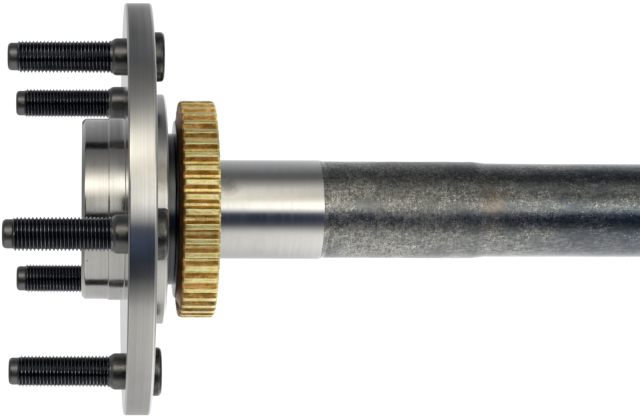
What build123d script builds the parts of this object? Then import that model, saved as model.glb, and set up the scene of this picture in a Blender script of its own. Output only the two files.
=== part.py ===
from build123d import *
import os
from math import cos, pi, radians, tan

# Rear axle shaft with its wheel flange, pressed-on tone ring and pressed-in wheel studs.
# All lengths are in millimetres and all angles in degrees.
# The frame's origin is the centre of the flange's wheel face, where the wheel or brake rotor seats.
# +Z runs along the shaft towards its splined inner end, so the studs and the pilot point to -Z.
# Heights below are measured along Z from the wheel face.

# Wheel flange
flange_diameter = 176.2
flange_thickness = 11.2
flange_face_bevel = 1.4
flange_back_bevel = 2.3

# Stepped pilot on the wheel face: the small step centres the wheel, the large one the rotor
wheel_pilot_diameter = 77.5
rotor_pilot_diameter = 78.4
rotor_pilot_height = 6.8
wheel_pilot_height = 11.2
pilot_bevel = 1.9
pilot_recess_diameter = 50.0
pilot_recess_floor_diameter = 42.0
pilot_recess_depth = 7.0
centre_cone_diameter = 10.6
centre_cone_angle = 60.0

# Boss, neck and shoulder behind the flange
boss_diameter = 98.6
boss_height = 6.1
boss_edge_bevel = 1.4
neck_diameter = 65.2
neck_length = 2.8
shoulder_diameter = 75.6
shoulder_cone_height = 1.4
shoulder_land = 0.4

# Seat that the tone ring is pressed on, and the sweep down to the journal
ring_seat_diameter = 72.0
ring_seat_overrun = 1.5
seat_end_bevel = 1.2
journal_root_round = 6.5

# Ground journal for the wheel bearing and its seal
journal_diameter = 42.6
journal_length = 43.6
journal_end_bevel = 2.0

# Forged bar between the journal and the splines
upset_bar_diameter = 41.5
upset_bar_length = 64.0
upset_taper_length = 5.6
bar_diameter = 40.1
bar_length = 614.0
bar_taper_length = 28.0

# Splined inner end, with the groove for the retaining clip and the button beyond it
spline_neck_diameter = 30.6
spline_neck_length = 9.0
spline_count = 31
spline_outer_diameter = 33.8
spline_root_diameter = 31.4
spline_gap_floor_width = 0.9
spline_flank_angle = 30.0
spline_length = 45.0
spline_end_bevel = 1.0
clip_groove_diameter = 24.6
clip_groove_width = 5.6
button_diameter = 32.6
button_length = 8.9
button_bevel = 1.5

# Tone ring: a hub pressed on the seat, a sloping web and a toothed rim
ring_hub_width = 10.1
ring_hub_face_diameter = 75.8
ring_web_diameter = 86.0
ring_web_rise = 2.2
ring_rim_setback = 1.5
ring_rim_width = 15.0
ring_rim_inner_diameter = 81.0
ring_crest_diameter = 93.4
ring_tooth_end_bevel = 1.3
ring_tooth_count = 48
ring_tooth_depth = 2.0
ring_gap_floor_width = 1.5
ring_flank_angle = 32.0
ring_first_gap_angle = -93.1

# Wheel studs, pressed in from behind, with plain shanks at the thread's outer diameter
stud_count = 5
stud_circle_diameter = 139.7
first_stud_angle = -82.6
stud_thread_diameter = 13.75
stud_thread_end_height = 44.6
stud_point_diameter = 11.9
stud_point_length = 4.0
stud_thread_bevel = 0.9
stud_knurl_diameter = 15.6
stud_knurl_stand = 5.6
stud_head_diameter = 20.5
stud_head_thickness = 4.7

# A pressed fit is drawn this far clear of its seat, on the radius
press_clearance = 0.02

# Heights that the sizes above fix
pilot_front = -(rotor_pilot_height + wheel_pilot_height)
boss_back = flange_thickness + boss_height
neck_end = boss_back + neck_length
shoulder_face = neck_end + shoulder_cone_height + shoulder_land
seat_end = shoulder_face + ring_hub_width + ring_seat_overrun
journal_end = seat_end + journal_root_round + journal_length
upset_start = journal_end + journal_end_bevel
upset_end = upset_start + upset_bar_length
bar_start = upset_end + upset_taper_length
bar_end = bar_start + bar_length
spline_neck_start = bar_end + bar_taper_length
spline_start = spline_neck_start + spline_neck_length
spline_end = spline_start + spline_length
button_start = spline_end + clip_groove_width
inner_end = button_start + button_length

# Cutters reach this far past the metal that they clear
cutting_margin = 0.6


def turned(corners):
    """Revolve a closed outline about Z. Each corner is (diameter, height, rounding radius)."""
    points = [(diameter / 2, height) for diameter, height, rounding in corners]
    roundings = [rounding for diameter, height, rounding in corners]
    outline = FilletPolyline(*points, radius=roundings, close=True)
    return revolve(Plane.XZ * make_face(outline), Axis.Z)


def toothed_bar(count, root_diameter, crest_diameter, floor_width, flank_angle, first_gap, length, bevel):
    """Bar with trapezoidal teeth, standing on Z = 0, with both ends of its teeth beveled."""
    crest_corner_diameter = crest_diameter / cos(pi / count)
    blank = extrude(RegularPolygon(crest_corner_diameter / 2, count, rotation=first_gap), length)
    ends = blank.edges().group_by(Axis.Z)
    blank = chamfer(ends[0] + ends[-1], bevel)
    root = root_diameter / 2
    reach = crest_corner_diameter / 2 + cutting_margin
    floor_half = floor_width / 2
    mouth_half = floor_half + (reach - root) * tan(radians(flank_angle))
    gap = Polyline(
        (reach, -mouth_half),
        (root, -floor_half),
        (root, floor_half),
        (reach, mouth_half),
        close=True,
    )
    gap_cutter = extrude(make_face(gap), length)
    return blank - PolarLocations(0, count, start_angle=first_gap) * gap_cutter


def stud_places():
    """One location for each stud, on the flange's wheel face."""
    return PolarLocations(stud_circle_diameter / 2, stud_count, start_angle=first_stud_angle)


def shaft_outline():
    """Corners of the forging's half section, from the pilot's recess round to the inner end."""
    pilot = [
        (0, pilot_front + pilot_recess_depth, 0),
        (pilot_recess_floor_diameter, pilot_front + pilot_recess_depth, 0),
        (pilot_recess_diameter, pilot_front, 0),
        (wheel_pilot_diameter - 2 * pilot_bevel, pilot_front, 0),
        (wheel_pilot_diameter, pilot_front + pilot_bevel, 0),
        (wheel_pilot_diameter, -rotor_pilot_height, 0),
        (rotor_pilot_diameter, -rotor_pilot_height, 0),
        (rotor_pilot_diameter, 0, 0),
    ]
    flange = [
        (flange_diameter - 2 * flange_face_bevel, 0, 0),
        (flange_diameter, flange_face_bevel, 0),
        (flange_diameter, flange_thickness - flange_back_bevel, 0),
        (flange_diameter - 2 * flange_back_bevel, flange_thickness, 0),
        (boss_diameter, flange_thickness, 0),
        (boss_diameter, boss_back - boss_edge_bevel, 0),
        (boss_diameter - 2 * boss_edge_bevel, boss_back, 0),
    ]
    seat = [
        (neck_diameter, boss_back, 0),
        (neck_diameter, neck_end, 0),
        (shoulder_diameter, neck_end + shoulder_cone_height, 0),
        (shoulder_diameter, shoulder_face, 0),
        (ring_seat_diameter, shoulder_face, 0),
        (ring_seat_diameter, seat_end - seat_end_bevel, 0),
        (ring_seat_diameter - 2 * seat_end_bevel, seat_end, 0),
    ]
    bar = [
        (journal_diameter, seat_end, journal_root_round),
        (journal_diameter, journal_end, 0),
        (upset_bar_diameter, upset_start, 0),
        (upset_bar_diameter, upset_end, 0),
        (bar_diameter, bar_start, 0),
        (bar_diameter, bar_end, 0),
        (spline_neck_diameter, spline_neck_start, 0),
    ]
    inner_end_corners = [
        (spline_neck_diameter, spline_end, 0),
        (clip_groove_diameter, spline_end, 0),
        (clip_groove_diameter, button_start, 0),
        (button_diameter, button_start, 0),
        (button_diameter, inner_end - button_bevel, 0),
        (button_diameter - 2 * button_bevel, inner_end, 0),
        (0, inner_end, 0),
    ]
    return pilot + flange + seat + bar + inner_end_corners


def splines():
    """The toothed stretch, standing on the spline neck."""
    teeth = toothed_bar(
        spline_count,
        spline_root_diameter,
        spline_outer_diameter,
        spline_gap_floor_width,
        spline_flank_angle,
        0,
        spline_length,
        spline_end_bevel,
    )
    return Pos(0, 0, spline_start) * teeth


def lathe_centre():
    """Cone that a lathe centre leaves, opening towards -Z from Z = 0."""
    return turned(
        [
            (0, 0, 0),
            (centre_cone_diameter, 0, 0),
            (0, centre_cone_diameter / 2 / tan(radians(centre_cone_angle / 2)), 0),
        ]
    )


def axle_shaft():
    """The forging: pilot, flange, boss, ring seat, journal, bar and splined end in one piece."""
    stud_hole_radius = stud_knurl_diameter / 2 + press_clearance
    stud_holes = stud_places() * extrude(Circle(stud_hole_radius), flange_thickness)
    wheel_end_centre = Pos(0, 0, pilot_front + pilot_recess_depth) * lathe_centre()
    inner_end_centre = Pos(0, 0, inner_end) * Rot(180, 0, 0) * lathe_centre()
    return turned(shaft_outline()) + splines() - stud_holes - wheel_end_centre - inner_end_centre


def tone_ring():
    """Ring with its hub against the shoulder and its web sloping out to a toothed rim."""
    bore = ring_seat_diameter + 2 * press_clearance
    hub_back = shoulder_face + ring_hub_width
    hub = turned(
        [
            (bore, shoulder_face, 0),
            (ring_hub_face_diameter, shoulder_face, 0),
            (ring_web_diameter, shoulder_face + ring_web_rise, 0),
            (ring_web_diameter, hub_back, 0),
            (bore, hub_back, 0),
        ]
    )
    rim = toothed_bar(
        ring_tooth_count,
        ring_crest_diameter - 2 * ring_tooth_depth,
        ring_crest_diameter,
        ring_gap_floor_width,
        ring_flank_angle,
        ring_first_gap_angle,
        ring_rim_width,
        ring_tooth_end_bevel,
    )
    rim_hole = extrude(Circle(ring_rim_inner_diameter / 2), ring_rim_width)
    return hub + Pos(0, 0, shoulder_face + ring_rim_setback) * (rim - rim_hole)


def wheel_stud():
    """Press-in stud standing on Z = 0 at the wheel face, its head behind the flange."""
    tip = -(stud_thread_end_height + stud_point_length)
    thread_end = -stud_thread_end_height
    head_back = flange_thickness + stud_head_thickness
    return turned(
        [
            (0, tip, 0),
            (stud_point_diameter, tip, 0),
            (stud_point_diameter, thread_end, 0),
            (stud_thread_diameter, thread_end + stud_thread_bevel, 0),
            (stud_thread_diameter, -stud_knurl_stand, 0),
            (stud_knurl_diameter, -stud_knurl_stand, 0),
            (stud_knurl_diameter, flange_thickness, 0),
            (stud_head_diameter, flange_thickness, 0),
            (stud_head_diameter, head_back, 0),
            (0, head_back, 0),
        ]
    )


os.makedirs("parts", exist_ok=True)
export_step(axle_shaft(), "parts/axle_shaft.step")
export_step(tone_ring(), "parts/tone_ring.step")
for number, place in enumerate(stud_places(), start=1):
    export_step(place * wheel_stud(), f"parts/wheel_stud_{number}.step")
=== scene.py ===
# %% [markdown]
# # A rear axle shaft, dressed in steel, scale and gold-coloured plating
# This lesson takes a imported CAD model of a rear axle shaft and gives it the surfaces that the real
# forging has. The shaft stands upright on the tips of its wheel studs, with +Z along the bar.
# The CAD model fixes every size. Here we only add what a closer look shows: fine turning marks,
# rolled threads, teeth with broken edges, forging scale and the bright stretch that the bearing runs on.

# %% Load the frame
from math import atan, atan2, cos, hypot, pi, radians, sin, tan

import bmesh
import bpy
from mathutils import Matrix, Vector, noise


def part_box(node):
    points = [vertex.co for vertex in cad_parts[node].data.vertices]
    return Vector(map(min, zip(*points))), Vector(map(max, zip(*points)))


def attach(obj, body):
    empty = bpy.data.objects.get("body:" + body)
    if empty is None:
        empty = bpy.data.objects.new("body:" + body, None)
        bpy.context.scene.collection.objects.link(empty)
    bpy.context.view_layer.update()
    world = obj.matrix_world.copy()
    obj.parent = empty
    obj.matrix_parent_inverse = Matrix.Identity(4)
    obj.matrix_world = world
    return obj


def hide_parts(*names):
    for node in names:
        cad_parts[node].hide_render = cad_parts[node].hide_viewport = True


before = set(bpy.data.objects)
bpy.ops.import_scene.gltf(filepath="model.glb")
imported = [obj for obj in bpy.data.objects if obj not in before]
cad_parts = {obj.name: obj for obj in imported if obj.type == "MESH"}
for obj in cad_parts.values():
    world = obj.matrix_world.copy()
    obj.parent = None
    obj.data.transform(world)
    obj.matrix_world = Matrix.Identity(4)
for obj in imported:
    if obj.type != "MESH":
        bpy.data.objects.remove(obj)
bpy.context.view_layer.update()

MM = 0.001
scene = bpy.context.scene
print("CAD nodes:", ", ".join(sorted(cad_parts)))

# %% [markdown]
# ## The camera
# The photograph was taken square to the shaft, with the bar running to the right, so the camera looks
# along +Y and its right-hand side is +Z. It stands a little outboard of the wheel face, where the
# flange hides its own back. A lens shift frames the picture to the right of that, because a camera
# turned towards the bar would show the flange's rim as an ellipse.

# %% Camera square to the shaft
camera_distance = 713.8 * MM
camera_rise = 8.9 * MM
aim_height = -14.8 * MM
aim_pixel = (89.3, 188.1)
photo_width = 640
photo_height = 416
sensor_width = 36.0
pixels_per_tangent = 1656.5
photo_roll = radians(0.2)

camera_data = bpy.data.cameras.new("camera")
camera_data.sensor_width = sensor_width
camera_data.lens = pixels_per_tangent * sensor_width / photo_width
camera_data.shift_x = (photo_width / 2 - aim_pixel[0]) / photo_width
camera_data.shift_y = (aim_pixel[1] - photo_height / 2) / photo_width
camera_data.clip_start = 0.01
camera = bpy.data.objects.new("camera", camera_data)
scene.collection.objects.link(camera)
right, up, back = Vector((0, 0, 1)), Vector((-1, 0, 0)), Vector((0, -1, 0))
square_on = Matrix((right, up, back)).transposed().to_4x4()
place = Matrix.Translation((-camera_rise, -camera_distance, aim_height))
camera.matrix_world = place @ square_on @ Matrix.Rotation(photo_roll, 4, "Z")
scene.camera = camera
print(f"lens {camera_data.lens:.1f} mm, shift {camera_data.shift_x:.3f} and {camera_data.shift_y:.3f}")

# %% [markdown]
# ## Helpers for shader nodes
# A material is a small program of nodes. These helpers keep it readable: `node` adds one and sets its
# properties and its inputs by name. A socket that is given as a value is joined, and anything else is
# set as a number or a colour.

# %% Node helpers
def node(tree, kind, properties=None, **inputs):
    """Add a node. Inputs are given by socket name, with _ for a space, as a value or as a socket."""
    made = tree.nodes.new(kind)
    for name, value in (properties or {}).items():
        setattr(made, name, value)
    for name, value in inputs.items():
        set_input(tree, made, name.replace("_", " "), value)
    return made


def set_input(tree, made, name, value):
    """Join a socket to the named input, or set the input's own value."""
    if isinstance(value, bpy.types.NodeSocket):
        tree.links.new(value, made.inputs[name])
    else:
        made.inputs[name].default_value = value


def maths(tree, operation, *values, clamp=False):
    """One step of arithmetic on numbers or sockets."""
    made = node(tree, "ShaderNodeMath", {"operation": operation, "use_clamp": clamp})
    for index, value in enumerate(values):
        set_input(tree, made, index, value)
    return made.outputs[0]


def times(tree, first, second):
    """The product of two numbers or sockets."""
    return maths(tree, "MULTIPLY", first, second)


def spread(tree, value, low, high, to_low=0.0, to_high=1.0):
    """Stretch a value from one range to another, held at both ends."""
    limits = {"From_Min": low, "From_Max": high, "To_Min": to_low, "To_Max": to_high}
    return node(tree, "ShaderNodeMapRange", Value=value, **limits).outputs[0]

# %% [markdown]
# ## Helpers for trees and colours
# A world, a material and a node group each hold a tree of nodes. `fresh_tree` empties one, and the
# others mix colours and shaders in it.

# %% Tree and colour helpers
def fresh_tree(holder):
    """Give a world or a material an empty node tree."""
    holder.use_nodes = True
    holder.node_tree.nodes.clear()
    return holder.node_tree


def blend(tree, share, first, second):
    """A colour that goes from the first to the second as share goes from 0 to 1."""
    made = node(tree, "ShaderNodeMix", {"data_type": "RGBA"})
    for socket, value in ((0, share), (6, first), (7, second)):
        set_input(tree, made, socket, value)
    return made.outputs[2]


def grey(level):
    """A neutral colour."""
    return (level, level, level, 1.0)


def mix_shaders(tree, share, first, second):
    """A shader that goes from the first to the second as share goes from 0 to 1."""
    made = node(tree, "ShaderNodeMixShader", Fac=share)
    set_input(tree, made, 1, first.outputs[0])
    set_input(tree, made, 2, second.outputs[0])
    return made.outputs[0]

# %% [markdown]
# ## The studio
# Bright metal shows its surroundings more than its own colour. On the journal the photograph shows a
# cream stripe, then a sharp navy one, then an even pale grey: a tall soft light beside the lens, the
# dark gap where the camera stands, and a large white card on the other side. All of them stand
# parallel to the shaft, so a ring of levels around the shaft's axis describes the studio. One ring
# didn't match the whole part, so each angle has four levels, for the pilot, the rim, the journal and
# the bar. They were set by comparing the render's brightness with the photograph's, row by row, so
# they are a fit and not measured lamps.

# %% A ring of soft lights around the shaft
studio_ring = [
    # angle up from the camera's direction, level for pilot, rim, journal and bar, warmth
    (-180, (0.79, 0.65, 1.1, 1.3), 0.00),
    (-158, (0.69, 0.47, 0.69, 1.5), 0.00),
    (-125, (0.69, 0.46, 0.72, 1.6), 0.02),
    (-85, (0.70, 0.41, 0.91, 1.50), 0.04),
    (-64, (0.75, 0.39, 0.87, 1.37), 0.05),
    (-54, (0.77, 0.27, 0.80, 0.93), 0.04),
    (-44, (0.12, 0.165, 0.455, 0.42), 0.02),
    (-36, (0.024, 0.048, 0.122, 0.22), -0.12),
    (-27, (0.016, 0.06, 0.046, 0.12), -0.40),
    (-17, (0.014, 0.17, 0.025, 0.12), -0.55),
    (-9, (0.010, 0.180, 0.055, 0.28), -0.30),
    (-3, (0.02, 0.86, 0.77, 1.05), 0.02),
    (4, (0.020, 1.46, 1.65, 2.12), 0.06),
    (14, (0.04, 1.43, 1.52, 1.95), 0.09),
    (23, (1.43, 1.13, 1.0, 1.12), 0.13),
    (31, (2.30, 1.46, 0.96, 0.43), 0.12),
    (40, (1.52, 1.30, 0.96, 0.42), 0.11),
    (48, (0.62, 0.69, 0.90, 0.58), 0.09),
    (57, (0.26, 0.295, 0.56, 0.6), 0.06),
    (66, (0.24, 0.183, 0.318, 0.40), 0.04),
    (77, (0.17, 0.147, 0.158, 0.147), 0.02),
    (90, (0.15, 0.098, 0.168, 0.108), -0.05),
    (112, (0.37, 0.030, 0.355, 0.265), -0.02),
    (146, (0.52, 0.210, 0.61, 0.99), -0.02),
    (164, (0.58, 0.42, 0.88, 1.18), 0.00),
    (180, (0.79, 0.65, 1.1, 1.3), 0.00),
]
print(f"studio ring of {len(studio_ring)} levels")

# %% [markdown]
# ## The world
# The world shader works out the direction's angle around the axis, reads the four levels from ramps and
# picks between them by how far the direction leans along the shaft. The camera itself sees plain white
# paper behind the shaft.

# %% World of soft lights
brightest = 2.4
dark_ends = 0.10
end_lean = (0.45, 0.90)
paper_strength = 1.05
warm_gains = (0.5, 0.1, -1.0)
row_changes = ((0.010, 0.014), (0.040, 0.044), (0.140, 0.165))

world = bpy.data.worlds.new("studio")
scene.world = world
tree = fresh_tree(world)
direction = node(tree, "ShaderNodeTexCoord").outputs["Generated"]
axes = node(tree, "ShaderNodeSeparateXYZ", Vector=direction).outputs
towards_up = times(tree, axes["X"], -1.0)
towards_camera = times(tree, axes["Y"], -1.0)
turn_share = spread(tree, maths(tree, "ARCTAN2", towards_up, towards_camera), -pi, pi)
surroundings = None
for row in range(len(row_changes) + 1):
    ramp = node(tree, "ShaderNodeValToRGB", Fac=turn_share)
    stops = ramp.color_ramp.elements
    while len(stops) > 1:
        stops.remove(stops[-1])
    for index, (angle, levels, warmth) in enumerate(studio_ring):
        position = (angle + 180) / 360
        stop = stops[0] if index == 0 else stops.new(position)
        stop.position = position
        share = levels[row] / brightest
        stop.color = (*(share * (1 + gain * warmth) for gain in warm_gains), 1.0)
    if surroundings is None:
        surroundings = ramp.outputs["Color"]
    else:
        above = spread(tree, axes["Z"], *row_changes[row - 1])
        surroundings = blend(tree, above, surroundings, ramp.outputs["Color"])
towards_end = spread(tree, maths(tree, "ABSOLUTE", axes["Z"]), *end_lean)
surroundings = blend(tree, towards_end, surroundings, grey(dark_ends))
lit = node(tree, "ShaderNodeBackground", Color=surroundings, Strength=brightest)
paper = node(tree, "ShaderNodeBackground", Color=grey(1.0), Strength=paper_strength)
seen = node(tree, "ShaderNodeLightPath").outputs["Is Camera Ray"]
node(tree, "ShaderNodeOutputWorld", Surface=mix_shaders(tree, seen, lit, paper))
scene.view_settings.view_transform = "Standard"
print(f"world of {len(tree.nodes)} nodes")

# %% [markdown]
# ## The floor
# The shaft stands on its stud tips, so the floor is the plane through them. It is white acrylic lit
# from below, as product photographers use: it keeps only a faint shadow. With Layer Weight, the lower
# the view, the more of the light from below shows, up to full white in the photograph's view. From
# underneath, the floor is clear, so that the wheel face can be looked at.

# %% Floor of lit white acrylic
floor_radius = 6.0
floor_glow = 0.78
floor_paint = 0.42
skimming_view = (0.75, 0.93)
floor_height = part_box("wheel_stud_1")[0][2]


def kept_mesh(name, shell):
    """The mesh that a bmesh holds, which is freed."""
    mesh = bpy.data.meshes.new(name)
    shell.to_mesh(mesh)
    shell.free()
    return mesh


def put_in_scene(name, mesh):
    """An object with this mesh, linked to the scene."""
    made = bpy.data.objects.new(name, mesh)
    scene.collection.objects.link(made)
    return made


disc = bmesh.new()
bmesh.ops.create_circle(disc, cap_ends=True, radius=floor_radius, segments=96)
floor = put_in_scene("floor", kept_mesh("floor", disc))
floor.location.z = floor_height
floor.visible_glossy = False

acrylic = bpy.data.materials.new("lit_acrylic")
tree = fresh_tree(acrylic)
skimming = node(tree, "ShaderNodeLayerWeight", Blend=0.5).outputs["Facing"]
from_below = spread(tree, skimming, *skimming_view, floor_glow, 1.0)
glow = node(tree, "ShaderNodeEmission", Color=grey(1.0), Strength=from_below)
paint = node(tree, "ShaderNodeBsdfDiffuse", Color=grey(floor_paint))
both = node(tree, "ShaderNodeAddShader")
set_input(tree, both, 0, glow.outputs[0])
set_input(tree, both, 1, paint.outputs[0])
clear = node(tree, "ShaderNodeBsdfTransparent")
underside = node(tree, "ShaderNodeNewGeometry").outputs["Backfacing"]
node(tree, "ShaderNodeOutputMaterial", Surface=mix_shaders(tree, underside, both, clear))
floor.data.materials.append(acrylic)
print(f"floor at {floor_height / MM:.1f} mm")

# %% [markdown]
# ## Helpers for groups and textures
# What several materials need is made once as a node group, with named inputs and outputs. Every
# texture is read at a place in the part's own axes, so it stays on the part wherever that goes.

# %% Group and texture helpers
def new_group(name, inputs, outputs):
    """A node group with named number inputs, given with their defaults, and named outputs."""
    tree = bpy.data.node_groups.new(name, "ShaderNodeTree")
    for socket, default in inputs.items():
        made = tree.interface.new_socket(socket, in_out="INPUT", socket_type="NodeSocketFloat")
        made.default_value = default
    for socket in outputs:
        tree.interface.new_socket(socket, in_out="OUTPUT", socket_type="NodeSocketFloat")
    return tree, tree.nodes.new("NodeGroupInput").outputs, tree.nodes.new("NodeGroupOutput")


def place_on_part(tree):
    """The point in the part's own axes, and its X, Y and Z in metres."""
    point = node(tree, "ShaderNodeTexCoord").outputs["Object"]
    return point, node(tree, "ShaderNodeSeparateXYZ", Vector=point).outputs


def distance_from_axis(tree, axes):
    """How far the point is from the Z axis."""
    squares = [times(tree, axes[name], axes[name]) for name in ("X", "Y")]
    return maths(tree, "SQRT", maths(tree, "ADD", *squares))


def noise_field(tree, where, scale, detail, roughness):
    """A smooth random value from 0 to 1, with about this many waves to the metre."""
    settings = {"Scale": scale, "Detail": detail, "Roughness": roughness}
    return node(tree, "ShaderNodeTexNoise", Vector=where, **settings).outputs[0]

# %% [markdown]
# ## Marks that a lathe and a grinder leave
# A tool that is fed along a turning part cuts a very fine spiral, so the marks run round the axis:
# they change with the distance from the axis and with the height, but hardly along the way round.
# A noise texture that reads those two lengths instead of x, y and z draws exactly that, on faces as
# well as on cylinders. It comes at two scales, because real marks have broad bands and fine lines.
# The turned steel, the journal and, faintly, the bar use it.

# %% Node group: turning marks
per_metre = 1 / MM

turning_marks, given, made = new_group(
    "turning_marks",
    {"Lines per mm": 2.0, "Bands per mm": 0.25, "Waver": 0.3},
    ["Lines", "Bands"],
)
tree = turning_marks
point, axes = place_on_part(tree)
bearing = times(tree, maths(tree, "ARCTAN2", axes["Y"], axes["X"]), MM)
waver = times(tree, bearing, given["Waver"])
unrolled = node(tree, "ShaderNodeCombineXYZ", X=distance_from_axis(tree, axes), Y=axes["Z"], Z=waver)
for output, rate, detail in (("Lines", "Lines per mm", 3.0), ("Bands", "Bands per mm", 2.0)):
    scale = times(tree, given[rate], per_metre)
    set_input(tree, made, output, noise_field(tree, unrolled.outputs[0], scale, detail, 0.6))
print("node group:", turning_marks.name)

# %% [markdown]
# ## Blotches and pits
# Steel that has been handled has soft blotches where oil or a hand has been, and small pits.
# Blotches are a slow noise. Pits are the middles of the cells of a Voronoi texture. Each cell has a
# random colour, and only the cells whose red is high get a pit, so that the pits aren't evenly spread.

# %% Node group: blotches and pits
least_red = 0.55

blotches_and_pits, given, made = new_group(
    "blotches_and_pits",
    {"Blotch size mm": 14.0, "Pit spacing mm": 5.0, "Pit size": 0.12},
    ["Blotches", "Pits"],
)
tree = blotches_and_pits
point = place_on_part(tree)[0]
slow = maths(tree, "DIVIDE", per_metre, given["Blotch size mm"])
cloud = noise_field(tree, point, slow, 4.0, 0.62)
set_input(tree, made, "Blotches", spread(tree, cloud, 0.35, 0.65))
quick = maths(tree, "DIVIDE", per_metre, given["Pit spacing mm"])
cells = node(tree, "ShaderNodeTexVoronoi", Vector=point, Scale=quick).outputs
near_centre = maths(tree, "LESS_THAN", cells["Distance"], given["Pit size"])
red = node(tree, "ShaderNodeSeparateColor", Color=cells["Color"]).outputs[0]
chosen = maths(tree, "GREATER_THAN", red, least_red)
set_input(tree, made, "Pits", times(tree, near_centre, chosen))
print("node group:", blotches_and_pits.name)

# %% [markdown]
# ## A soft spot
# Oil that dried and heat that was unevenly spread leave single soft stains. The group measures how far a
# point is from the stain's centre, with one size across and another along the shaft, and lets a noise fray
# its border. The journal's smudge and the brown heat mark on the bar use it, and so does a dark reflection
# painted on the boss.

# %% Node group: soft spot
soft_spot, given, made = new_group(
    "soft_spot",
    {"X mm": 0.0, "Y mm": -20.0, "Z mm": 50.0, "Across mm": 5.0, "Along mm": 5.0, "Fray": 0.6},
    ["Spot"],
)
tree = soft_spot
point, axes = place_on_part(tree)
squares = []
for axis, reach in (("X", "Across mm"), ("Y", "Across mm"), ("Z", "Along mm")):
    in_mm = times(tree, axes[axis], per_metre)
    offset = maths(tree, "SUBTRACT", in_mm, given[f"{axis} mm"])
    share = maths(tree, "DIVIDE", offset, given[reach])
    squares.append(times(tree, share, share))
across = maths(tree, "ADD", squares[0], squares[1])
distance = maths(tree, "SQRT", maths(tree, "ADD", across, squares[2]))
ragged = maths(tree, "SUBTRACT", noise_field(tree, point, 450.0, 4.0, 0.65), 0.5)
frayed = maths(tree, "ADD", distance, times(tree, ragged, given["Fray"]))
set_input(tree, made, "Spot", spread(tree, frayed, 1.0, 0.35))
print("node group:", soft_spot.name)

# %% [markdown]
# ## Helpers for materials
# `band` makes the mask of one zone, and `layered` lays colours on, each by its own mask. Turned metal
# blurs its reflections more one way than the other, which is what the anisotropy of the shader is
# for. Its tangent has to run round the axis, and the Tangent node gives that in its radial mode.

# %% Material helpers
quarter_turn = 0.25


def new_material(name):
    """An empty node material, with its output and a Principled shader on it."""
    material = bpy.data.materials.new(name)
    tree = fresh_tree(material)
    shader = tree.nodes.new("ShaderNodeBsdfPrincipled")
    node(tree, "ShaderNodeOutputMaterial", Surface=shader.outputs[0])
    return material, tree, shader


def use_group(tree, group, **inputs):
    """Place a node group with the material's own values, and give its outputs."""
    return node(tree, "ShaderNodeGroup", {"node_tree": group}, **inputs).outputs


def weighed(tree, *parts):
    """The sum of values, each given with its weight."""
    total = None
    for value, weight in parts:
        share = times(tree, value, weight)
        total = share if total is None else maths(tree, "ADD", total, share)
    return total


def band(tree, value, start, full, fading, gone):
    """A mask that rises from start to full, and falls again from fading to gone."""
    rise = spread(tree, value, start, full)
    return maths(tree, "SUBTRACT", rise, spread(tree, value, fading, gone), clamp=True)


def layered(tree, colour, *layers):
    """Lay colours over the first in turn. Each layer is (mask, greatest share, colour)."""
    for mask, share, tint in layers:
        colour = blend(tree, times(tree, mask, share), colour, tint)
    return colour


def round_the_axis(tree, shader, amount):
    """Blur the shader's reflections along Z more than around it."""
    tangent = node(tree, "ShaderNodeTangent", {"direction_type": "RADIAL", "axis": "Z"})
    tree.links.new(tangent.outputs[0], shader.inputs["Tangent"])
    shader.inputs["Anisotropic"].default_value = amount
    shader.inputs["Anisotropic Rotation"].default_value = quarter_turn


def dress(tree, shader, colour, roughness, metallic, relief, depth):
    """Set the shader's colour, roughness and metal, and give it a bump of this depth in metres."""
    set_input(tree, shader, "Base Color", colour)
    set_input(tree, shader, "Roughness", roughness)
    shader.inputs["Metallic"].default_value = metallic
    bump = node(tree, "ShaderNodeBump", Strength=1.0, Distance=depth, Height=relief)
    tree.links.new(bump.outputs[0], shader.inputs["Normal"])

# %% [markdown]
# ## Turned steel
# The flange, the pilot, the boss and the neck are cut on a lathe from the dark forging, so they are bare
# steel: a slightly soft mirror, blurred by the fine spiral a little more along the shaft than around it.
# The pilot and the boss are a little duller than the flange, and the flange's rounded back edge is the
# dullest. A dark reflection is painted on the boss. The neck lies in the recess between the boss and the
# ring, and its colour is painted dark as shade, darkest on the cone by the ring. Each zone is four heights
# in metres, between which its mask rises and falls.

# %% Turned steel
flange_back_zone = (0.0099, 0.0104, 0.0110, 0.0114)
boss_zone = (0.0110, 0.0114, 0.0171, 0.0174)
neck_zone = (0.0171, 0.0174, 0.0232, 0.0236)
cone_shade_from = (0.0209, 0.0211)
wheel_face_edge = (0.0, -0.0004)


turned_steel, tree, shader = new_material("turned_steel")
height = place_on_part(tree)[1]["Z"]
marks = use_group(tree, turning_marks, Lines_per_mm=1.6, Bands_per_mm=0.22)
stains = use_group(tree, blotches_and_pits, Blotch_size_mm=16.0, Pit_spacing_mm=7.0, Pit_size=0.05)
# A dark reflection painted on the boss, as a soft spot.
boss_painted_reflection = use_group(
    tree, soft_spot, X_mm=-15.0, Y_mm=-47.0, Z_mm=14.5, Across_mm=9.0, Along_mm=7.0, Fray=0.8
)["Spot"]
lines = spread(tree, marks["Lines"], 0.35, 0.65)
wiped = layered(
    tree,
    blend(tree, lines, (0.58, 0.578, 0.572, 1), (0.64, 0.638, 0.63, 1)),
    (spread(tree, stains["Blotches"], 0.4, 1.0), 0.25, (0.47, 0.45, 0.42, 1)),
    (stains["Pits"], 0.7, (0.12, 0.11, 0.10, 1)),
    (boss_painted_reflection, 0.8, (0.20, 0.19, 0.175, 1)),
)
bands = spread(tree, marks["Bands"], 0.35, 0.65)
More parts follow.
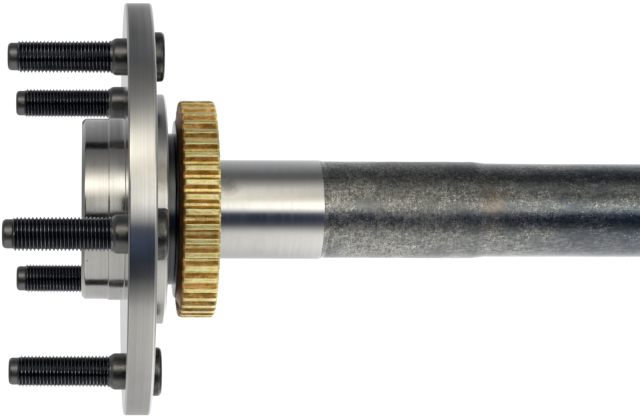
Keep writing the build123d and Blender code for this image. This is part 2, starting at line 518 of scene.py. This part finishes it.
# Painted shade: the neck in its recess between the boss and the ring is coloured dark, and the cone by the
# ring darker still.
neck_painted_shade = blend(tree, bands, (0.045, 0.048, 0.056, 1), (0.095, 0.099, 0.107, 1))
neck_painted_shade = blend(tree, spread(tree, height, *cone_shade_from), neck_painted_shade, (0.030, 0.032, 0.037, 1))
colour = blend(tree, band(tree, height, *neck_zone), wiped, neck_painted_shade)
blur = weighed(
    tree,
    (spread(tree, marks["Bands"], 0.3, 0.7, 0.11, 0.15), 1.0),
    (band(tree, height, *boss_zone), 0.10),
    (spread(tree, height, *wheel_face_edge), 0.03),
    (band(tree, height, *flange_back_zone), 0.24),
)
dress(tree, shader, colour, blur, 1.0, marks["Lines"], 0.0025 * MM)
round_the_axis(tree, shader, 0.2)
print("material:", turned_steel.name)

# %% [markdown]
# ## Ground steel
# The bearing's rollers run right on the journal, so it is ground after turning. It is the brightest
# and sharpest mirror on the part. Its marks are finer and fainter than the lathe's.

# %% Ground steel
ground_steel, tree, shader = new_material("ground_steel")
marks = use_group(tree, turning_marks, Lines_per_mm=3.5, Bands_per_mm=0.5)
stains = use_group(tree, blotches_and_pits, Blotch_size_mm=9.0, Pit_spacing_mm=6.0, Pit_size=0.04)
smudge = use_group(
    tree, soft_spot, X_mm=-9.5, Y_mm=-19.0, Z_mm=43.5, Across_mm=4.2, Along_mm=5.5, Fray=1.2
)["Spot"]
lines = spread(tree, marks["Lines"], 0.3, 0.7)
smudged = layered(
    tree,
    blend(tree, lines, (0.62, 0.618, 0.612, 1), (0.66, 0.658, 0.65, 1)),
    (spread(tree, stains["Blotches"], 0.5, 1.0), 0.15, (0.52, 0.50, 0.47, 1)),
    (stains["Pits"], 0.6, (0.15, 0.14, 0.13, 1)),
    (smudge, 0.6, (0.24, 0.215, 0.185, 1)),
)
blur = spread(tree, marks["Bands"], 0.3, 0.7, 0.12, 0.19)
dress(tree, shader, smudged, blur, 1.0, marks["Lines"], 0.0015 * MM)
round_the_axis(tree, shader, 0.4)
print("material:", ground_steel.name)

# %% [markdown]
# ## Forging scale
# Between the journal and the splines the bar keeps the skin of the forge: a thin hard layer of iron
# oxide, blue-black and half glossy. Both ends of the bar were heated again when the journal and the
# splines were hardened, and there the scale is paler, duller and mottled with flakes of grey steel.
# So the material blends two finishes along Z. The border between them wanders, because heat does.
# On the middle stretch the lower side, with +X, is smoother and streaked along, and has few glints.
# Near the journal the upper side is painted a little darker, as shade, and farther along it is painted a
# little lighter, as light; farther along still, the lower side is painted darker and bluer, as shade. Every
# number that differs between the two finishes is a pair, and `along_bar` picks between them.

# %% Masks of the forging scale
hardened_to = 0.116
settled_from = 0.186
hardened_again = (0.700, 0.745)
run_out = (0.122, 0.100)
upset_stretch = (0.090, 0.106, 0.148, 0.170)
lower_shade_from = (0.176, 0.190)


def drawn_out(tree, where, share):
    """The point with its Z made smaller, which draws a texture out along the axis."""
    scaled = node(tree, "ShaderNodeVectorMath", {"operation": "MULTIPLY"})
    set_input(tree, scaled, 0, where)
    set_input(tree, scaled, 1, (1.0, 1.0, share))
    return scaled.outputs[0]


forging_scale, tree, shader = new_material("forging_scale")
point, axes = place_on_part(tree)
height = axes["Z"]
clouds = noise_field(tree, point, 52.0, 5.0, 0.62)
specks = noise_field(tree, point, 1900.0, 2.0, 0.6)
flakes = noise_field(tree, point, 620.0, 3.0, 0.6)
dents = noise_field(tree, point, 130.0, 3.0, 0.55)
streaks = noise_field(tree, drawn_out(tree, point, 0.12), 1500.0, 2.0, 0.6)
marks = use_group(tree, turning_marks, Lines_per_mm=1.5, Bands_per_mm=0.05, Waver=3.0)
heat_mark = use_group(
    tree, soft_spot, X_mm=-3.0, Y_mm=-19.5, Z_mm=154.5, Across_mm=15.0, Along_mm=6.5, Fray=2.6
)["Spot"]
wander = weighed(tree, (height, 1.0), (maths(tree, "SUBTRACT", clouds, 0.5), 0.05))
along = band(tree, wander, hardened_to, settled_from, *hardened_again)


def along_bar(near_ends, middle):
    """A number that goes from its value near the bar's ends to its value on the rest."""
    return spread(tree, along, 0.0, 1.0, near_ends, middle)


underside = spread(tree, weighed(tree, (axes["X"], 1.0), (clouds, 0.02)), 0.015, 0.021)
smooth_side = times(tree, underside, along)
grain = weighed(
    tree,
    (specks, weighed(tree, (smooth_side, -0.24), (along_bar(0.46, 0.42), 1.0))),
    (flakes, 0.30),
    (marks["Lines"], along_bar(0.22, 0.06)),
    (streaks, weighed(tree, (smooth_side, 0.24), (along_bar(0.04, 0.22), 1.0))),
)
cloudy = spread(tree, weighed(tree, (clouds, 0.6), (dents, 0.4)), 0.39, 0.61, 0.30, 1.40)
flaked = maths(tree, "MULTIPLY", spread(tree, grain, 0.445, 0.585), cloudy, clamp=True)
glints = spread(tree, weighed(tree, (specks, 0.7), (flakes, 0.3)), 0.605, 0.655)
glint_share = weighed(tree, (along_bar(0.95, 0.85), 1.0), (smooth_side, -0.7))
glint_share = times(tree, glint_share, spread(tree, dents, 0.42, 0.55))
# Painted light and shade by side: with these masks the upper side is darkened near the journal and
# lightened farther along, and the lower side farther along is darkened and made bluer.
upper_side = spread(tree, axes["X"], 0.003, -0.006)
lower_side = maths(tree, "SUBTRACT", 1.0, upper_side)
upper_near_painted_shade = times(tree, band(tree, height, *upset_stretch), upper_side)
upper_far_painted_light = times(tree, spread(tree, height, *upset_stretch[2:]), upper_side)
lower_far_painted_shade = times(tree, spread(tree, height, *lower_shade_from), lower_side)
print(f"masks of {len(tree.nodes)} nodes")

# %% [markdown]
# ## Colour and relief of the scale
# The flakes lie on the ground colour. Over them come painted shade on the upper side near the journal, a
# little painted light on the upper side farther along, and bluer painted shade on the lower side farther
# along. Then come the glints and a brown heat mark. The same noises raise the relief.

# %% Colour and relief of the scale
pale = blend(tree, flaked, (0.120, 0.126, 0.129, 1), (0.42, 0.415, 0.390, 1))
blue_black = blend(tree, smooth_side, (0.060, 0.080, 0.094, 1), (0.098, 0.103, 0.114, 1))
dark = blend(tree, flaked, blue_black, (0.275, 0.274, 0.272, 1))
scale_colour = layered(
    tree,
    blend(tree, along, pale, dark),
    # Painted shade, painted light and bluer painted shade, by side and height.
    (upper_near_painted_shade, 0.25, (0.05, 0.055, 0.06, 1)),
    (upper_far_painted_light, 0.08, (0.33, 0.33, 0.33, 1)),
    (lower_far_painted_shade, 0.38, (0.034, 0.052, 0.080, 1)),
    (glints, glint_share, (0.80, 0.79, 0.75, 1)),
    (heat_mark, 0.38, (0.28, 0.21, 0.16, 1)),
)
ground_end = spread(tree, wander, *run_out)
gloss = weighed(
    tree,
    (along_bar(0.36, 0.20), 1.0),
    (spread(tree, grain, 0.4, 0.6, -0.03, 0.06), 1.0),
    (spread(tree, clouds, 0.40, 0.60, -0.05, 0.05), along_bar(1.0, 0.5)),
    (ground_end, -0.12),
)
relief = weighed(tree, (specks, 0.08), (flakes, 0.35), (marks["Lines"], along_bar(0.30, 0.0)), (dents, 2.3))
relief = times(tree, relief, weighed(tree, (along_bar(1.0, 0.6), 1.0), (ground_end, -0.45)))
dress(tree, shader, scale_colour, gloss, 1.0, relief, 0.025 * MM)
print("material:", forging_scale.name)

# %% [markdown]
# ## Yellow zinc
# The tone ring is zinc plated and passivated, which gives the gold colour with a hint of olive. The ring
# under the plating is rough from its moulding, so its teeth glitter. The flanks and the web are browner,
# partly from the passivate's own colour and partly as painted shade. The web is also painted near black by
# the hub, as shade. A pale painted highlight lies along the edges of the crests. A point's place in the
# pitch of the teeth follows from its angle round the axis: `from_gap` is 0 in the middle of a gap and 0.5
# in the middle of a crest, and the masks for flank, edge and crest are ranges of it. They hold on the teeth
# alone, so the rim's bore stays plain. The passivate is a film on a metal, so the shader is only partly
# metallic: the film's own colour shows from every side.

# %% Yellow zinc
ring_tooth_count = 48
ring_first_gap = -93.1
flank_phases = (0.070, 0.100, 0.300, 0.330)
edge_phases = (0.325, 0.345, 0.385, 0.415)
teeth_from = (0.0438, 0.0442)
between_bevels = (0.0236, 0.0245, 0.0373, 0.0382)
web_shade_edge = (0.0379, 0.0388)
web_radii = (0.0446, 0.0440)
web_heights = (0.0260, 0.0255)
front_bevel = (0.0243, 0.0239)

yellow_zinc, tree, shader = new_material("yellow_zinc")
point, axes = place_on_part(tree)
from_axis = distance_from_axis(tree, axes)
clouds = noise_field(tree, point, 150.0, 4.0, 0.6)
grain = noise_field(tree, point, 1500.0, 3.0, 0.7)
ripple = noise_field(tree, drawn_out(tree, point, 0.3), 900.0, 3.0, 0.55)
tone = weighed(tree, (clouds, 0.35), (grain, 0.35), (ripple, 0.30))
turns = maths(tree, "DIVIDE", maths(tree, "ARCTAN2", axes["Y"], axes["X"]), 2 * pi)
pitches = times(tree, maths(tree, "SUBTRACT", turns, ring_first_gap / 360), ring_tooth_count)
phase = maths(tree, "FRACT", maths(tree, "ADD", pitches, 0.5))
from_gap = maths(tree, "ABSOLUTE", maths(tree, "SUBTRACT", phase, 0.5))
on_teeth = spread(tree, from_axis, *teeth_from)
on_edge = times(tree, band(tree, from_gap, *edge_phases), on_teeth)
on_crest = times(tree, spread(tree, from_gap, *edge_phases[2:]), on_teeth)
on_flank = times(tree, band(tree, from_gap, *flank_phases), on_teeth)
on_flank = times(tree, on_flank, band(tree, axes["Z"], *between_bevels))
gold = layered(
    tree,
    blend(tree, spread(tree, tone, 0.44, 0.56), (0.80, 0.60, 0.14, 1), (1.0, 0.90, 0.34, 1)),
    (spread(tree, weighed(tree, (ripple, 0.5), (grain, 0.5)), 0.50, 0.58), 0.9, (1.0, 0.97, 0.56, 1)),
    (on_crest, 0.22, (0.55, 0.42, 0.10, 1)),
    # Painted highlight along the edges of the crests.
    (on_edge, 0.85, (1.0, 0.98, 0.66, 1)),
)
# The flanks' brown is partly the passivate's own colour and partly painted shade.
brown = layered(
    tree,
    blend(tree, spread(tree, tone, 0.44, 0.57), (0.33, 0.165, 0.026, 1), (0.72, 0.44, 0.12, 1)),
    (spread(tree, clouds, 0.52, 0.66), 0.6, (0.66, 0.33, 0.16, 1)),
)
toothed = blend(tree, on_flank, gold, brown)
web_tone = spread(tree, tone, 0.40, 0.62)
# The web's brown is partly the passivate's own colour and partly painted shade, and by the hub it is
# painted near black as shade.
web_brown_and_shade = blend(tree, web_tone, (0.24, 0.10, 0.030, 1), (0.56, 0.30, 0.11, 1))
web_brown_and_shade = blend(tree, spread(tree, from_axis, *web_shade_edge), (0.050, 0.028, 0.016, 1), web_brown_and_shade)
on_web = times(tree, spread(tree, from_axis, *web_radii), spread(tree, axes["Z"], *web_heights))
on_front = maths(tree, "MAXIMUM", on_web, spread(tree, axes["Z"], *front_bevel))
colour = blend(tree, on_front, toothed, web_brown_and_shade)
blur = weighed(tree, (spread(tree, grain, 0.3, 0.7, 0.26, 0.44), 1.0), (on_edge, 0.12))
dress(tree, shader, colour, blur, 0.7, weighed(tree, (ripple, 1.2), (grain, 0.5)), 0.16 * MM)
print("material:", yellow_zinc.name)

# %% [markdown]
# ## Black oxide
# The studs are hardened, blackened and oiled. The black is a thin oxide over the steel, so the shader stays
# a metal, with a dark colour. Where the dies rolled the thread the coat is thinner, greyer and smoother,
# and the thread's grooves are painted dark, as oil and as shade. The collar and the point are dull and a
# little dusty, while the head behind the flange keeps its black.

# %% Black oxide
thread_stretch = (-0.0450, -0.0440, -0.0062, -0.0052)
groove_radii = (0.00655, 0.00602)
outside_flange = (0.006, 0.003)

black_oxide, tree, shader = new_material("black_oxide")
point, axes = place_on_part(tree)
clouds = noise_field(tree, point, 260.0, 4.0, 0.6)
grain = noise_field(tree, point, 1800.0, 3.0, 0.7)
cloudy = spread(tree, clouds, 0.35, 0.65)
rolled = band(tree, axes["Z"], *thread_stretch)
dulled = spread(tree, axes["Z"], *outside_flange)
thread = layered(
    tree,
    blend(tree, cloudy, (0.150, 0.160, 0.190, 1), (0.330, 0.335, 0.350, 1)),
    # The grooves are painted dark: oil, and painted shade.
    (spread(tree, distance_from_axis(tree, axes), *groove_radii), 1.0, (0.020, 0.024, 0.034, 1)),
)
plain = layered(
    tree,
    blend(tree, cloudy, (0.060, 0.061, 0.060, 1), (0.130, 0.132, 0.128, 1)),
    (spread(tree, grain, 0.5, 0.75), 0.4, (0.20, 0.20, 0.19, 1)),
    (dulled, 0.5, (0.26, 0.262, 0.265, 1)),
)
colour = blend(tree, rolled, plain, thread)
blur = weighed(tree, (spread(tree, grain, 0.3, 0.7, 0.20, 0.34), 1.0), (rolled, -0.12), (dulled, 0.06))
dress(tree, shader, colour, blur, 1.0, weighed(tree, (clouds, 1.0), (grain, 0.3)), 0.08 * MM)
print("material:", black_oxide.name)

# %% [markdown]
# ## Helpers for outlines
# `rounded` takes the corners of an outline and puts a small arc in each corner that asks for one.
# `held` gives flat stretches a point close to each end: without it, smooth shading would bend the
# light over the whole flat, and not only at its edge.

# %% Outline helpers
arc_steps = 5
edge_hold = 0.2


def arc_in_corner(before, corner, after, rounding):
    """Points of the arc that rounds one corner of an outline."""
    to_before = (Vector(before) - Vector(corner)).normalized()
    to_after = (Vector(after) - Vector(corner)).normalized()
    half = to_before.angle(to_after) / 2
    middle = (to_before + to_after).normalized()
    centre = Vector(corner) + middle * (rounding / sin(half))
    start = Vector(corner) + to_before * (rounding / tan(half)) - centre
    finish = Vector(corner) + to_after * (rounding / tan(half)) - centre
    turn = start.angle(finish)
    points = []
    for step in range(arc_steps + 1):
        share = step / arc_steps
        arm = start * sin((1 - share) * turn) + finish * sin(share * turn)
        points.append(tuple(centre + arm / sin(turn)))
    return points


def rounded(corners):
    """Outline through corners of (x, y, rounding). The ends of an open one have a rounding of 0."""
    points = []
    for index, (x, y, rounding) in enumerate(corners):
        if rounding:
            before = corners[index - 1][:2]
            after = corners[(index + 1) % len(corners)][:2]
            points += arc_in_corner(before, (x, y), after, rounding)
        else:
            points.append((x, y))
    return points


def held(points, longest=None):
    """Add a point near both ends of each long straight, and divide straights longer than longest."""
    filled = [points[0]]
    for start, finish in zip(points, points[1:]):
        length = hypot(finish[0] - start[0], finish[1] - start[1])
        shares = []
        if length > 3 * edge_hold:
            pieces = int(length / longest) if longest else 1
            shares = [edge_hold / length, *(n / pieces for n in range(1, pieces)), 1 - edge_hold / length]
        for share in (*shares, 1.0):
            filled.append(tuple(a + (b - a) * share for a, b in zip(start, finish)))
    return filled

# %% [markdown]
# ## Helpers for turned meshes
# Nearly everything here is turned, so its surface is a stack of rings. `skin` joins them with faces,
# which fan out where one ring has fewer points than the next.

# %% Mesh helpers
sharp_angle = radians(28)


def skin(name, rings, closed=False):
    """Mesh over a stack of rings of points in millimetres. A ring of one point closes an end."""
    shell = bmesh.new()
    rows = [[shell.verts.new(Vector(point) * MM) for point in ring] for ring in rings]
    pairs = list(zip(rows, rows[1:]))
    if closed:
        pairs.append((rows[-1], rows[0]))
    for low, high in pairs:
        count = max(len(low), len(high))
        for index in range(count):
            corners = []
            for ring, step in ((low, 0), (low, 1), (high, 1), (high, 0)):
                corners.append(ring[(index + step) * len(ring) // count % len(ring)])
            shell.faces.new(dict.fromkeys(corners))
    bmesh.ops.recalc_face_normals(shell, faces=shell.faces)
    mesh = kept_mesh(name, shell)
    mesh.shade_smooth()
    mesh.set_sharp_from_angle(angle=sharp_angle)
    return mesh


def at(radius, angle, height):
    """The point with this distance from the axis, angle and height."""
    return radius * cos(angle), radius * sin(angle), height


def circle(radius, height, count):
    """A ring of points about Z, or the one point where the radius is nothing."""
    if radius <= 0:
        return [(0.0, 0.0, height)]
    return [at(radius, 2 * pi * index / count, height) for index in range(count)]


def turned_rings(corners, count):
    """Round rings of this many points, through an outline's rounded corners."""
    return [circle(radius, height, count) for radius, height in held(rounded(corners))]


def add_piece(name, mesh, replaced, slot, *materials):
    """Put a mesh in the scene as a piece that stands for a CAD node and wears these materials."""
    for material in materials:
        mesh.materials.append(material)
    piece = put_in_scene(name, mesh)
    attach(piece, "root")
    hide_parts(replaced)
    print(f"{name}: {len(mesh.polygons)} faces")
    return piece

# %% [markdown]
# ## The shaft
# The shaft is one forging: the flange is upset from the bar, then the wheel end and the journal are
# turned. So it is one mesh, built as a stack of rings from the pilot's recess to the inner end. Its
# sizes are those of the CAD model, in millimetres.

# %% Sizes of the shaft
flange_radius = 88.1
flange_thickness = 11.2
wheel_pilot_radius = 38.75
rotor_pilot_radius = 39.2
rotor_step = -6.8
pilot_front = -18.0
recess_floor = -11.0
boss_radius = 49.3
boss_back = 17.3
neck_radius = 32.6
neck_end = 20.1
shoulder_radius = 37.8
shoulder_face = 21.9
ring_seat_radius = 36.0
seat_end = 33.5
journal_root_round = 6.5
journal_radius = 21.3
journal_end = 83.6
upset_radius = 20.75
upset_start = 85.6
upset_end = 149.6
bar_start = 155.2
bar_radius = 20.05
bar_end = 769.2
spline_neck_radius = 15.3
spline_neck_start = 797.2
spline_start = 806.2
spline_end = 851.2
clip_groove_radius = 12.3
button_start = 856.8
button_radius = 16.3
button_bevel = 1.5
inner_end = 865.7
centre_radius = 5.3
centre_depth = centre_radius / tan(radians(30))
print(f"shaft from {pilot_front:.1f} to {inner_end:.1f} mm")

# %% [markdown]
# ## Outline of the shaft
# Every sharp corner of the lathe work gets a small broken edge, because that thin rounded line is what
# catches the light. A corner is a radius, a height and the radius of its rounding.

# %% Outline of the shaft
wheel_end_corners = [
    (0, recess_floor + centre_depth, 0),
    (centre_radius, recess_floor, 0.3),
    (21.0, recess_floor, 1.0),
    (25.0, pilot_front, 0.5),
    (wheel_pilot_radius - 1.4, pilot_front, 0.8),
    (wheel_pilot_radius, pilot_front + 1.4, 0.9),
    (wheel_pilot_radius, rotor_step, 0.15),
    (rotor_pilot_radius, rotor_step, 0.28),
    (rotor_pilot_radius, 0, 0.4),
    (flange_radius - 0.6, 0, 0.3),
    (flange_radius, 0.6, 0.3),
    (flange_radius, flange_thickness, 1.0),
    (boss_radius, flange_thickness, 0.8),
    (boss_radius, boss_back - 0.7, 0.4),
    (boss_radius - 0.7, boss_back, 0.3),
    (neck_radius, boss_back, 0.8),
    (neck_radius, neck_end + 0.9, 0.4),
    (shoulder_radius, neck_end + 1.4, 0.2),
    (shoulder_radius, shoulder_face, 0.1),
    (ring_seat_radius, shoulder_face, 0.1),
    (ring_seat_radius, seat_end - 1.2, 0.3),
    (ring_seat_radius - 1.2, seat_end, 0.3),
    (journal_radius, seat_end, journal_root_round),
    (journal_radius, journal_end, 0.3),
    (upset_radius, upset_start, 0),
]
inner_end_corners = [
    (spline_neck_radius, spline_end, 0),
    (clip_groove_radius, spline_end, 0.3),
    (clip_groove_radius, button_start, 0.3),
    (button_radius, button_start, 0.2),
    (button_radius, inner_end - button_bevel, 0.4),
    (button_radius - button_bevel, inner_end, 0.4),
    (centre_radius, inner_end, 0.3),
    (0, inner_end - centre_depth, 0),
]
print(f"{len(wheel_end_corners)} corners at the wheel end, {len(inner_end_corners)} at the inner end")

# %% [markdown]
# ## The splines
# At the inner end 31 straight splines carry the torque into the differential. `gear_outline` draws
# their section, and later that of the tone ring's teeth.

# %% Section of the splines
def gear_outline(count, root_diameter, crest_diameter, floor_width, flank_angle, first_gap, rounding):
    """Section of a toothed bar as (radius, angle), with rounded tooth edges and gap corners."""
    root = root_diameter / 2
    crest = crest_diameter / 2
    floor_half = atan(floor_width / 2 / root)
    mouth_half = atan((floor_width / 2 + (crest - root) * tan(radians(flank_angle))) / crest)
    gap = ((crest, -mouth_half), (root, -floor_half), (root, floor_half), (crest, mouth_half))
    corners = []
    for tooth in range(count):
        middle = radians(first_gap) + 2 * pi * tooth / count
        for radius, swing in gap:
            corners.append((radius * cos(middle + swing), radius * sin(middle + swing), rounding))
    return [(hypot(x, y), atan2(y, x)) for x, y in rounded(corners)]


spline_crest = 16.9
spline_section = gear_outline(
    count=31,
    root_diameter=31.4,
    crest_diameter=2 * spline_crest,
    floor_width=0.9,
    flank_angle=30.0,
    first_gap=0.0,
    rounding=0.15,
)
print(f"section of {len(spline_section)} points")

# %% [markdown]
# ## The shaft's rings
# Both ends of the splines are beveled, so the shaft can be slid in: each ring's radius is held under a
# limit that falls towards the ends. The forged stretch is divided finely and pushed in and out by a
# slow noise, since no forged bar is truly round. The round stretches need only a quarter of the
# points that the splines have, which keeps the shaft's mesh light.

# %% Rings of the shaft
spline_bevel = 1.0
columns = len(spline_section) // 4
forged_step = 4.0
forging_from = 3.0
unevenness = 0.14
unevenness_scale = 28.0


def spline_ring(height, limit):
    """One ring of the toothed stretch, with no point farther out than the limit."""
    return [at(min(radius, limit), angle, height) for radius, angle in spline_section]


def forged_ring(radius, height, share):
    """A ring of the bar, pushed in and out by a slow noise."""
    ring = []
    for x, y, z in circle(radius, height, columns):
        wave = noise.noise(Vector((x, y, z)) / unevenness_scale)
        wave += 0.5 * noise.noise(Vector((x, y, z)) / (unevenness_scale / 3))
        growth = 1 + share * unevenness * wave / radius
        ring.append((x * growth, y * growth, z))
    return ring


bar_outline = [
    (upset_radius, upset_start),
    (upset_radius, upset_end),
    (bar_radius, bar_start),
    (bar_radius, bar_end),
    (spline_neck_radius, spline_neck_start),
]
rings = turned_rings(wheel_end_corners, columns)
for radius, height in held(bar_outline, forged_step)[1:]:
    share = min(1.0, (height - upset_start) / forging_from)
    rings.append(forged_ring(radius, height, share))
for height, limit in (
    (spline_start, spline_neck_radius),
    (spline_start, spline_crest - spline_bevel),
    (spline_start + spline_bevel, spline_crest),
    (spline_end - spline_bevel, spline_crest),
    (spline_end, spline_crest - spline_bevel),
):
    rings.append(spline_ring(height, limit))
rings += turned_rings(inner_end_corners, columns)
shaft_mesh = skin("shaft", rings)
print(f"{len(rings)} rings of {columns} points")

# %% [markdown]
# ## Stud holes and the three finishes
# The five studs are pressed through holes in the flange, so the mesh gets real holes, cut by a
# Boolean modifier, and the modifier's result is kept as the piece's own mesh. The finish of each
# face then follows from its height: turned steel up to the seat, ground steel on the journal,
# scale on the bar, and turned steel again on the splined end.

# %% Holes and finishes on the shaft
stud_count = 5
stud_circle_radius = 69.85
first_stud_angle = -82.6
stud_hole_radius = 7.82
hole_sides = 64
drill_overrun = 4
ground_from = seat_end + 0.5
ground_to = upset_start - 1.9

drills = bmesh.new()
stud_places = []
for number in range(stud_count):
    angle = radians(first_stud_angle + 360 * number / stud_count)
    centre = Vector(at(stud_circle_radius, angle, 0)) * MM
    stud_places.append(centre)
    middle = Matrix.Translation(centre + Vector((0, 0, flange_thickness / 2 * MM)))
    bmesh.ops.create_cone(
        drills,
        cap_ends=True,
        segments=hole_sides,
        radius1=stud_hole_radius * MM,
        radius2=stud_hole_radius * MM,
        depth=(flange_thickness + drill_overrun) * MM,
        matrix=middle,
    )
drill = put_in_scene("drills", kept_mesh("drills", drills))
blank = put_in_scene("blank", shaft_mesh)
cut = blank.modifiers.new("stud_holes", "BOOLEAN")
cut.operation = "DIFFERENCE"
cut.solver = "EXACT"
cut.object = drill
bpy.context.view_layer.update()
drilled = bpy.data.meshes.new_from_object(blank.evaluated_get(bpy.context.evaluated_depsgraph_get()))
drilled.name = "drilled_shaft"
bpy.data.objects.remove(drill)
bpy.data.objects.remove(blank)
drilled.shade_smooth()
drilled.set_sharp_from_angle(angle=sharp_angle)

TURNED, GROUND, FORGED = range(3)
drilled.materials.clear()
add_piece("turned_shaft", drilled, "axle_shaft", "forged_steel", turned_steel, ground_steel, forging_scale)
for face in drilled.polygons:
    height = face.center.z / MM
    if ground_from < height < ground_to:
        face.material_index = GROUND
    elif ground_to < height < spline_neck_start:
        face.material_index = FORGED
    else:
        face.material_index = TURNED

# %% [markdown]
# ## The tone ring
# A wheel-speed sensor counts the teeth of this ring as they pass. It is moulded from metal powder
# and sintered, pressed on its seat and plated. The teeth are straight bars with sloping flanks.
# The same section runs through the rim's whole width, and each ring of points is held under a limit
# near both ends, for the beveled tooth ends. A little noise on the teeth keeps their edges from
# being perfect lines.

# %% Tone ring
ring_crest_radius = 46.7
ring_section = gear_outline(
    count=ring_tooth_count,
    root_diameter=89.4,
    crest_diameter=2 * ring_crest_radius,
    floor_width=1.5,
    flank_angle=32.0,
    first_gap=ring_first_gap,
    rounding=0.45,
)
rim_width = 15.0
rim_front = shoulder_face + 1.5
rim_back = rim_front + rim_width
rim_bore_radius = 40.5
back_face_radius = 44.0
hub_back = shoulder_face + 10.1
hub_radius = 37.9
ring_bore_radius = 36.02
web_outer_radius = 42.4
web_groove = 1.3
tooth_bevel = 1.0
tooth_row_step = 0.75
tooth_roughness = 0.16
tooth_sway = 0.004
tooth_noise_scale = 1.6


def tooth_ring(height):
    """One ring of the toothed rim, beveled near the rim's ends and slightly rough."""
    from_end = min(height - rim_front, rim_back - height)
    limit = ring_crest_radius - max(0.0, tooth_bevel - from_end)
    ring = []
    for radius, angle in ring_section:
        kept = min(radius, limit)
        x, y, z = at(kept, angle, height)
        wave = noise.noise(Vector((x, y, z)) / tooth_noise_scale)
        sway = noise.noise(Vector((y, z, x)) / tooth_noise_scale)
        kept -= tooth_roughness * (0.5 + 0.5 * wave) * min(1.0, from_end)
        swung = angle + tooth_sway * sway * min(1.0, from_end)
        ring.append(at(kept, swung, height))
    return ring


inside_corners = [
    (back_face_radius, rim_back, 0),
    (rim_bore_radius, rim_back, 0.5),
    (rim_bore_radius, hub_back, 0.8),
    (ring_bore_radius + 0.08, hub_back, 0.5),
    (ring_bore_radius, shoulder_face, 0.3),
    (hub_radius, shoulder_face, 0.3),
    (web_outer_radius, rim_front + web_groove, 0.4),
    (web_outer_radius + 1.9, rim_front, 0),
]
angles = [angle for radius, angle in ring_section]
tooth_rows = int(rim_width / tooth_row_step)
rings = [tooth_ring(rim_front + rim_width * row / tooth_rows) for row in range(tooth_rows + 1)]
for radius, height in held(rounded(inside_corners)):
    rings.append([at(radius, angle, height) for angle in angles])
add_piece("toothed_ring", skin("toothed_ring", rings, closed=True), "tone_ring", "yellow_zinc", yellow_zinc)

# %% [markdown]
# ## The studs' threads
# The studs' thread is M14 with a 1.5 mm pitch. A thread is a helix, so at each point the radius
# depends on the height and on the angle together. One turn of angle has to move the profile by one
# pitch. Near the point the crests are held under a rising limit, and near the collar the grooves fade
# out, as rolled threads do.

# %% Threads of the studs
thread_pitch = 1.5
thread_crest_radius = 6.74
thread_root_radius = 5.90
thread_start = -44.6
thread_bevel = 0.9
point_radius = 5.75
collar_start = -3.9
collar_slope = 1.7
stud_columns = 96
runout_length = 1.2
crest_share = 0.14
flank_share = 0.60
collar_foot = collar_start - collar_slope


def thread_profile(phase):
    """Depth of the thread groove, from 0 on the crest to 1 at the root, over one pitch."""
    from_crest = abs(phase - 0.5) * 2
    return min(1.0, max(0.0, (1.0 - from_crest - crest_share) / flank_share))


def thread_ring(height):
    """One ring of points through the helical thread."""
    rise = max(0.0, height - thread_start) / thread_bevel
    limit = point_radius + rise * (thread_crest_radius - point_radius)
    fade = min(1.0, max(0.0, (collar_foot - height) / runout_length))
    ring = []
    for index in range(stud_columns):
        angle = 2 * pi * index / stud_columns
        phase = (height / thread_pitch - index / stud_columns) % 1.0
        depth = thread_profile(phase) * fade * (thread_crest_radius - thread_root_radius)
        radius = min(thread_crest_radius - depth, limit)
        ring.append(at(radius, angle, height))
    return ring


print(f"thread of {(collar_foot - thread_start) / thread_pitch:.1f} turns")

# %% [markdown]
# ## The wheel studs
# A wheel stud is a headed bolt with no hexagon: a knurled collar bites into the flange, and the
# wheel's nut pulls the head against the flange's back. All five share one mesh, each turned by its own
# angle, because no two threads start alike.

# %% Wheel studs
tip = -48.6
rows_per_pitch = 8
collar_radius = 7.68
knurl_depth = 0.06
head_radius = 10.25
head_back = 15.9


def knurled_ring(radius, height, share):
    """A ring of the collar, with every other point lower."""
    ring = []
    for index in range(stud_columns):
        lowered = share * knurl_depth * (index % 2)
        ring.append(at(radius - lowered, 2 * pi * index / stud_columns, height))
    return ring


point_corners = [(0, tip, 0), (point_radius, tip, 1.6), (point_radius, thread_start, 0)]
thread_rows = int((collar_foot - thread_start) / thread_pitch * rows_per_pitch)
collar_rows = [
    (thread_crest_radius, collar_foot + 0.1, 0.0),
    (6.95, collar_foot + 0.3, 0.0),
    (7.25, collar_foot + 0.7, 0.0),
    (7.52, collar_start - 0.5, 0.6),
    (7.64, collar_start, 1.0),
    (collar_radius, collar_start + 0.6, 1.0),
    (collar_radius, -0.3, 1.0),
    (collar_radius, flange_thickness - 0.2, 1.0),
    (collar_radius, flange_thickness, 0.0),
]
head_corners = [
    (collar_radius, flange_thickness, 0),
    (head_radius, flange_thickness, 0.4),
    (head_radius, head_back, 1.6),
    (0, head_back, 0),
]
rings = turned_rings(point_corners, stud_columns)
for row in range(1, thread_rows + 1):
    rings.append(thread_ring(thread_start + (collar_foot - thread_start) * row / thread_rows))
rings += [knurled_ring(*row) for row in collar_rows]
rings += turned_rings(head_corners, stud_columns)[1:]
stud_mesh = skin("stud", rings)
stud_mesh.materials.append(black_oxide)
thread_turns = (0.0, 1.9, 4.1, 2.6, 5.3)
for number, (centre, turn) in enumerate(zip(stud_places, thread_turns), start=1):
    stud = add_piece(f"threaded_stud_{number}", stud_mesh, f"wheel_stud_{number}", "black_oxide")
    stud.matrix_world = Matrix.Translation(centre) @ Matrix.Rotation(turn, 4, "Z")

# %% [markdown]
# ## Update the view layer
# The view layer is updated, so that every piece stands in its final place.

# %% Update the view layer
bpy.context.view_layer.update()
